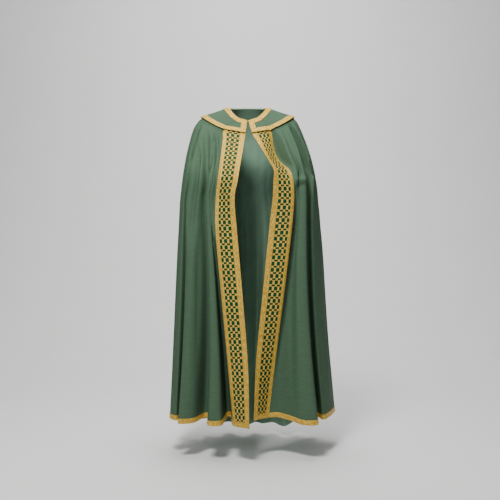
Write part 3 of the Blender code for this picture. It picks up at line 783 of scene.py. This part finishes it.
def check_finish(name):
    """The band's check: rows of tall and short cells by turns, dark green on pale gold."""
    colours, sizes = bpy.context.scene.cope_colours, bpy.context.scene.cope_sizes
    columns, tall = 5.0, sizes.tall_share
    shades = Shades(name, roughness=0.6, metallic=0.05, specular=0.12)
    parts = shades.cloth_parts()
    across = shades.math("MULTIPLY", parts["X"], columns)
    odd_column = shades.math("MODULO", shades.math("FLOOR", across), 2.0)
    x = shades.math("FRACT", across)
    y = shades.math("FRACT", shades.math("DIVIDE", parts["Y"], sizes.check_repeat))
    short_row = shades.math("GREATER_THAN", y, tall)
    in_tall = shades.math("DIVIDE", y, tall)
    in_short = shades.math("DIVIDE", shades.math("SUBTRACT", y, tall), 1 - tall)
    cell_y = shades.choose(short_row, in_tall, in_short)
    green = shades.math("COMPARE", odd_column, short_row, 0.1)

    # A green cell has rounded corners, and a gold one is narrowed where its neighbours creep in.
    away_x, away_y = (
        shades.math("POWER", shades.math("ABSOLUTE", shades.math("MULTIPLY_ADD", part, 2.0, -1.0)), 4.0)
        for part in (x, cell_y)
    )
    corner = shades.spread(shades.math("ADD", away_x, away_y), 1.75, 2.0, 1.0, 0.0)
    creep = shades.spread(shades.math("SUBTRACT", away_x, away_y), 0.12, 0.32)
    pile = shades.choose(green, creep, corner)
    thread = shades.threads(40.0, 1400.0, detail=1.0)
    patch = shades.threads(4.0, 60.0, detail=2.0)
    strand = shades.spread(thread, 0.3, 0.7)
    pale = shades.tones(strand, colours.check_pale, 0.72, 1.1)
    pale = shades.fleck(pale, patch, 0.4, 0.65, 0.35, shade(colours.braid, 0.8))
    dark = shades.tones(strand, colours.check_dark, 0.7, 1.3)
    relief = shades.bump(thread, 0.0003, 0.5)
    return shades.finish(shades.mix(pile, pale, dark), shades.bump(pile, 0.0006, 0.6, relief))


def wire_finish(name):
    """Blackened wire, worn a little paler in patches."""
    shades = Shades(name, roughness=0.38, metallic=0.9)
    wear = shades.noise(shades.add("TexCoord").outputs["Object"], 700.0)
    colour = shades.mix(shades.spread(wear, 0.45, 0.7), (0.02, 0.02, 0.022, 1.0), (0.09, 0.085, 0.08, 1.0))
    return shades.finish(colour, shades.bump(wear, 0.0001, 0.3))


def paper_finish(name):
    """The studio's pale matt paper."""
    shades = Shades(name, roughness=0.8)
    grain = shades.noise(shades.add("TexCoord").outputs["Object"], 3.0)
    pale = shades.mix(grain, (0.78, 0.78, 0.77, 1.0), (0.82, 0.82, 0.81, 1.0))
    return shades.finish(pale, shades.bump(grain, 0.0005, 0.1))


FINISHES = {
    "slubbed_cloth": mantle_finish,
    "twill_lining": lining_finish,
    "gold_braid_weave": braid_finish,
    "woven_check": check_finish,
    "blackened_wire": wire_finish,
    "studio_paper": paper_finish,
}


def finish_named(name):
    """A finish, made when it is first asked for."""
    return bpy.data.materials.get(name) or FINISHES[name](name)


DRAPES = {}


def the_drape():
    """The draped surface at the chosen crease strength, worked out once."""
    strength = bpy.context.scene.cope_sizes.crease_strength
    if strength not in DRAPES:
        DRAPES[strength] = Drape(strength)
    return DRAPES[strength]


class CopeSizes(bpy.types.PropertyGroup):
    """Sizes a user would change."""

    crease_strength: FloatProperty(
        name="Crease Strength", description="How deep the small creases are",
        default=1.0, min=0.0, max=2.0,
    )
    check_repeat: FloatProperty(
        name="Check Repeat", description="Length of one tall and one short row of the check",
        default=0.0265, min=0.01, unit="LENGTH",
    )
    tall_share: FloatProperty(
        name="Tall Row", description="Share of the repeat that the tall row takes",
        default=0.66, min=0.5, max=0.9,
    )
    braid_crown: FloatProperty(
        name="Braid Crown", description="How much thicker a braid is along its middle",
        default=0.0004, min=0.0, unit="LENGTH",
    )


def colour_property(name, description, default):
    """A colour that the panel shows."""
    return FloatVectorProperty(name=name, description=description, default=default, size=3, subtype="COLOR")


class CopeColours(bpy.types.PropertyGroup):
    """Colours a user would change."""

    cloth: colour_property("Cloth", "The mantle and collar", (0.056, 0.102, 0.061))
    # The lining's own dark green, made paler than the cloth's as painted light against the shade inside the
    # cope.
    lining: colour_property("Lining", "The lining and the cloak's inside", (0.170, 0.290, 0.200))
    braid: colour_property("Braid", "The gold braids", (0.570, 0.315, 0.034))
    braid_light: colour_property("Braid Light", "The yellower threads of the braids", (0.720, 0.510, 0.090))
    check_pale: colour_property("Check Ground", "The check's pale gold", (0.640, 0.400, 0.075))
    check_dark: colour_property("Check Cells", "The check's dark green", (0.001, 0.046, 0.014))


class COPE_OT_mantle(bpy.types.Operator):
    """Lay the four panels of the mantle"""

    bl_idname = "cope.mantle"
    bl_label = "Mantle"

    def execute(self, context):
        drape = the_drape()
        seams = [drape.fold_column(name) for name in ("right_seam", "centre_back", "left_seam")]
        seams = [0, *seams, drape.last_column]
        places = ("front_right", "back_right", "back_left", "front_left")
        for place, first, last in zip(places, seams, seams[1:]):
            trims = (SEAM_GAP / 2 if first else 0.0, SEAM_GAP / 2 if last < drape.last_column else 0.0)
            panel = Stretch(first, last, (0, 0.0), (drape.last_row, 0.0), trims)
            cloth_piece(f"mantle_{place}", MANTLE_CLOTH, panel, -MANTLE_WALL)
        return {"FINISHED"}


class COPE_OT_lining(bpy.types.Operator):
    """Lay the lining of the back"""

    bl_idname = "cope.lining"
    bl_label = "Lining"

    def execute(self, context):
        drape = the_drape()
        first, last = drape.fold_column("right_seam"), drape.fold_column("left_seam")
        panel = Stretch(first, last, (0, 0.0), (drape.turning_row, 0.0))
        cloth_piece("lining_back", LINING_CLOTH, panel, -(MANTLE_WALL + LAYER_GAP + LINING_WALL))
        return {"FINISHED"}


class COPE_OT_collar(bpy.types.Operator):
    """Lay the collar and the braid round it"""

    bl_idname = "cope.collar"
    bl_label = "Collar"

    def execute(self, context):
        last, edge = the_drape().last_column, the_drape().collar_row
        cloth_piece("collar", COLLAR_CLOTH, Stretch(0, last, (0, 0.0), (edge, 0.0)), collar_layer)
        beside, front = BRAID_WIDTH + SEAM_GAP, COLUMNS_PER_BAND_CUT
        right = Stretch(0, front, (0, beside), (edge, -beside), cuts=FRONT_BRAID_CUTS)
        strips = {
            "neck": Stretch(0, last, (0, 0.0), (0, BRAID_WIDTH), cuts=BRAID_CUTS, across=1),
            "edge": Stretch(0, last, (edge, -BRAID_WIDTH), (edge, 0.0), cuts=BRAID_CUTS, across=1),
            "front_right": right,
            "front_left": right._replace(first=last - front, last=last),
        }
        for place, strip in strips.items():
            cloth_piece(f"collar_braid_{place}", BRAID_CLOTH, strip, collar_braid_layer)
        return {"FINISHED"}


class COPE_OT_orphreys(bpy.types.Operator):
    """Lay the checkered band of each front, with its braids"""

    bl_idname = "cope.orphreys"
    bl_label = "Orphreys"

    def execute(self, context):
        drape, step, half_gap = the_drape(), COLUMNS_PER_BAND_CUT, SEAM_GAP / 2
        top, bottom = (drape.collar_row, -ORPHREY_UNDER_COLLAR), (drape.turning_row, -SEAM_GAP)
        turning, hem = (drape.turning_row, 0.0), (drape.last_row, 0.0)
        for side, first in (("right", 0), ("left", drape.last_column - BAND_COLUMNS)):
            middle = Stretch(first + step, first + 3 * step, top, bottom, (half_gap, half_gap))
            cloth_piece(f"orphrey_{side}", CHECK_CLOTH, middle, LAYER_GAP)
            low = Stretch(first, first + step, top, bottom, (0.0, half_gap))
            high = Stretch(first + 3 * step, first + BAND_COLUMNS, top, bottom, (half_gap, 0.0))
            inner, outer = (low, high) if side == "right" else (high, low)
            end = Stretch(first, first + BAND_COLUMNS, turning, hem, cuts=BRAID_CUTS, across=1)
            for place, strip in {"inner": inner, "outer": outer, "end": end}.items():
                cloth_piece(f"orphrey_braid_{side}_{place}", BRAID_CLOTH, strip, LAYER_GAP)
        return {"FINISHED"}


class COPE_OT_hem_braid(bpy.types.Operator):
    """Lay the braid round the foot"""

    bl_idname = "cope.hem_braid"
    bl_label = "Hem Braid"

    def execute(self, context):
        drape = the_drape()
        top, bottom = (drape.turning_row, 0.0), (drape.last_row, 0.0)
        last = drape.last_column - BAND_COLUMNS
        foot = Stretch(BAND_COLUMNS, last, top, bottom, (SEAM_GAP, SEAM_GAP), BRAID_CUTS, across=1)
        cloth_piece("hem_braid", BRAID_CLOTH, foot, LAYER_GAP)
        return {"FINISHED"}


class COPE_OT_throat_hook(bpy.types.Operator):
    """Finish the throat hook and its ring"""

    bl_idname = "cope.throat_hook"
    bl_label = "Throat Hook"

    def execute(self, context):
        for name in ("throat_hook", "throat_ring"):
            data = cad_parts[name].data
            data.materials.clear()
            data.materials.append(finish_named("blackened_wire"))
        return {"FINISHED"}


def studio_paper():
    """A sheet of pale paper that lies under the cope and sweeps up behind it."""
    sheet = bmesh.new()
    bmesh.ops.create_grid(sheet, x_segments=1, y_segments=1, size=PAPER_HALF)
    bmesh.ops.translate(sheet, verts=sheet.verts, vec=(0.0, PAPER_BACK - PAPER_HALF, FLOOR_LEVEL))
    foot = [edge for edge in sheet.edges if all(vertex.co.y > 0 for vertex in edge.verts)]
    raised = bmesh.ops.extrude_edge_only(sheet, edges=foot)["geom"]
    top = [part for part in raised if isinstance(part, bmesh.types.BMVert)]
    bmesh.ops.translate(sheet, verts=top, vec=(0.0, 0.0, PAPER_HEIGHT))
    fold = [edge for edge in sheet.edges if len(edge.link_faces) == 2]
    bmesh.ops.bevel(
        sheet, geom=fold, offset=PAPER_SWEEP, offset_type="OFFSET", affect="EDGES",
        segments=16, profile=0.5, material=-1,
    )
    for face in sheet.faces:
        face.smooth = True
    data = bpy.data.meshes.new("studio_floor")
    sheet.to_mesh(data)
    sheet.free()
    data.materials.append(finish_named("studio_paper"))
    put_in_scene("studio_floor", data)


def studio_air():
    """An even, faint light from all round."""
    world = bpy.data.worlds.new("studio_air")
    world.use_nodes = True
    background = world.node_tree.nodes["Background"]
    background.inputs["Color"].default_value = (0.80, 0.81, 0.83, 1.0)
    background.inputs["Strength"].default_value = 0.26
    bpy.context.scene.world = world


def studio_light(name, place, aim, size, power):
    """A soft round area light pointed at a place on the cope or the paper."""
    data = bpy.data.lights.new(name, "AREA")
    data.shape, data.size, data.energy = "DISK", size, power
    light = put_in_scene(name, data)
    light.location = place
    light.rotation_euler = (Vector(aim) - Vector(place)).to_track_quat("-Z", "Y").to_euler()


def studio_camera():
    """A level camera in front of the cope."""
    data = bpy.data.cameras.new("camera")
    data.lens, data.sensor_width = CAMERA_LENS, CAMERA_SENSOR
    camera = put_in_scene("camera", data)
    camera.location = CAMERA_PLACE
    camera.rotation_euler = (math.pi / 2, 0.0, 0.0)
    bpy.context.scene.camera = camera


class COPE_OT_stage(bpy.types.Operator):
    """Set up the floor, the lights and the camera"""

    bl_idname = "cope.stage"
    bl_label = "Stage"

    def execute(self, context):
        studio_paper()
        studio_air()
        shoulders, middle, paper = (0.0, 0.0, -0.15), (0.02, 0.0, -0.70), (0.0, PAPER_BACK, 0.0)
        studio_light("key_light", (-0.5, -1.9, 1.55), shoulders, 0.7, 104.0)
        studio_light("front_light", (-0.2, -3.6, 0.3), middle, 1.2, 18.0)
        studio_light("top_light", (0.1, -0.2, 2.1), middle, 1.2, 48.0)
        studio_light("paper_light", (0.0, 1.6, 2.6), paper, 2.5, 120.0)
        studio_camera()
        return {"FINISHED"}


class COPE_PT_panel(bpy.types.Panel):
    """The cope's sizes, colours and pieces"""

    bl_label = "Cope"
    bl_space_type = "VIEW_3D"
    bl_region_type = "UI"
    bl_category = "Cope"

    def draw(self, context):
        for group in (context.scene.cope_sizes, context.scene.cope_colours):
            box = self.layout.box()
            for name in group.bl_rna.properties.keys():
                if name not in {"rna_type", "name"}:
                    box.prop(group, name)
        for operator in STEPS:
            self.layout.operator(operator.bl_idname)


STEPS = (
    COPE_OT_mantle,
    COPE_OT_lining,
    COPE_OT_collar,
    COPE_OT_orphreys,
    COPE_OT_hem_braid,
    COPE_OT_throat_hook,
    COPE_OT_stage,
)
GROUPS = (CopeSizes, CopeColours)


def register():
    """Make the groups, operators and panel known."""
    for kind in (*GROUPS, *STEPS, COPE_PT_panel):
        bpy.utils.register_class(kind)
    bpy.types.Scene.cope_sizes = PointerProperty(type=CopeSizes)
    bpy.types.Scene.cope_colours = PointerProperty(type=CopeColours)


def unregister():
    """Take them away again."""
    del bpy.types.Scene.cope_colours
    del bpy.types.Scene.cope_sizes
    for kind in reversed((*GROUPS, *STEPS, COPE_PT_panel)):
        bpy.utils.unregister_class(kind)


def main():
    """Set up the studio and dress the solids."""
    register()
    bpy.ops.cope.stage()
    bpy.ops.cope.mantle()
    bpy.ops.cope.lining()
    bpy.ops.cope.collar()
    bpy.ops.cope.orphreys()
    bpy.ops.cope.hem_braid()
    bpy.ops.cope.throat_hook()


if __name__ == "__main__":
    main()
